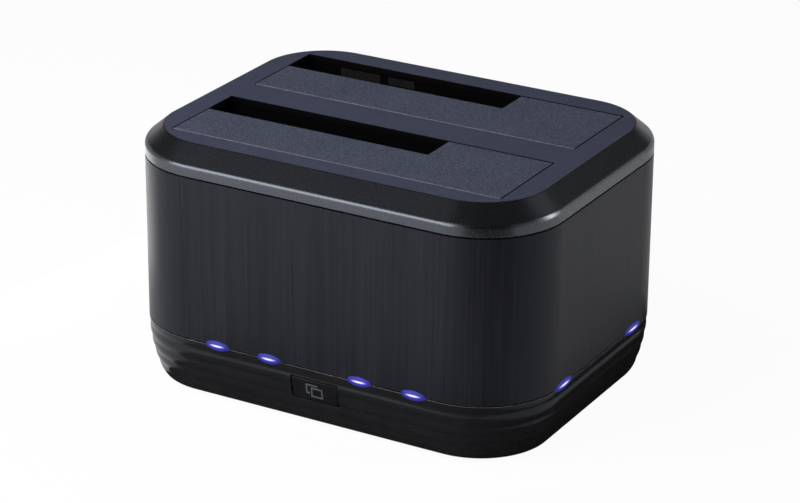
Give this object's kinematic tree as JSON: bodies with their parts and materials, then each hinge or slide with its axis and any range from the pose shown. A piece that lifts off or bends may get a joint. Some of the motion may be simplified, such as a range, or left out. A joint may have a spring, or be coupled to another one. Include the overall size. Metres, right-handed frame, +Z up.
{
  "type": "hard drive docking station",
  "caption": "Docking station for hard drives: a rounded black box with sprung doors over deep drive bays, lamp lenses in its seam, a front button, and rear ports.",
  "frame": {"origin": "on the table under the middle of the body's box", "axes": "+Z up, -Y towards the front with the button, +X to the right seen from the front"},
  "size_m": [0.129, 0.099, 0.075],
  "materials": {
    "cover_slate": "fine moulded texture on the flat top, polished black on its sloping edge",
    "sleeve_black": "upright brushed, dark lacquer",
    "base_black": "satin black",
    "door_slate": "sparkling moulded grain",
    "pin_steel": "ground",
    "spring_steel": "drawn wire",
    "guide_black": "matte moulded",
    "board_green": "solder mask",
    "socket_black": "moulded",
    "contact_gold": "gold plated",
    "port_metal": "nickel plated",
    "port_blue": "moulded",
    "port_black": "moulded",
    "rocker_black": "satin",
    "button_black": "satin black",
    "switch_black": "moulded",
    "plunger_ivory": "moulded",
    "chip_black": "moulded",
    "can_aluminium": "satin",
    "screw_steel": "zinc plated, dark",
    "foot_rubber": "matte",
    "lens_blue": "clear blue, lit from behind",
    "lamp_white": "moulded"
  },
  "bodies": {
    "housing": {"top_cover": "cover_slate", "outer_sleeve": "sleeve_black", "base_housing": "base_black", "front_hinge_pin": "pin_steel", "rear_hinge_pin": "pin_steel", "front_door_spring": "spring_steel", "rear_door_spring": "spring_steel", "front_drive_guide": "guide_black", "rear_drive_guide": "guide_black", "main_board": "board_green", "front_sata_socket": "socket_black", "rear_sata_socket": "socket_black", "front_sata_contacts": "contact_gold", "rear_sata_contacts": "contact_gold", "usb_port_shell": "port_metal", "power_jack_pin": "port_metal", "usb_port_tongue": "port_blue", "power_jack_body": "port_black", "power_switch_frame": "port_black", "clone_switch_body": "switch_black", "bridge_chip": "chip_black", "board_capacitors": "can_aluminium", "housing_screws": "screw_steel", "front_left_foot": "foot_rubber", "front_right_foot": "foot_rubber", "rear_left_foot": "foot_rubber", "rear_right_foot": "foot_rubber", "front_led_lens_1": "lens_blue", "front_led_lens_2": "lens_blue", "front_led_lens_3": "lens_blue", "front_led_lens_4": "lens_blue", "side_led_lens_1": "lens_blue", "side_led_lens_2": "lens_blue", "front_led_1": "lamp_white", "front_led_2": "lamp_white", "front_led_3": "lamp_white", "front_led_4": "lamp_white", "side_led_1": "lamp_white", "side_led_2": "lamp_white"},
    "front_door": {"front_door": "door_slate"},
    "rear_door": {"rear_door": "door_slate"},
    "clone_button": {"clone_button": "button_black", "clone_switch_plunger": "plunger_ivory"},
    "power_rocker": {"power_switch_rocker": "rocker_black"}
  },
  "joints": [
    {"name": "front_door_hinge", "type": "hinge", "parent": "housing", "child": "front_door", "pos_m": [0, -0.03945, 0.0705], "axis": [-1, 0, 0], "range_deg": [0, 90], "stiffness_Nm_per_rad": 0.004, "springref_deg": -51.57, "deforming": ["front_door_spring"]},
    {"name": "rear_door_hinge", "type": "hinge", "parent": "housing", "child": "rear_door", "pos_m": [0, 0.0034, 0.0705], "axis": [-1, 0, 0], "range_deg": [0, 90], "stiffness_Nm_per_rad": 0.004, "springref_deg": -51.57, "deforming": ["rear_door_spring"]},
    {"name": "clone_button_slide", "type": "slide", "parent": "housing", "child": "clone_button", "axis": [0, 1, 0], "range_m": [0, 0.0008], "stiffness_N_per_m": 1500, "springref_m": -0.0004},
    {"name": "power_rocker_pivot", "type": "hinge", "parent": "housing", "child": "power_rocker", "pos_m": [-0.02, 0.0459, 0.0106], "axis": [0, 0, -1], "range_deg": [0, 16]}
  ]
}
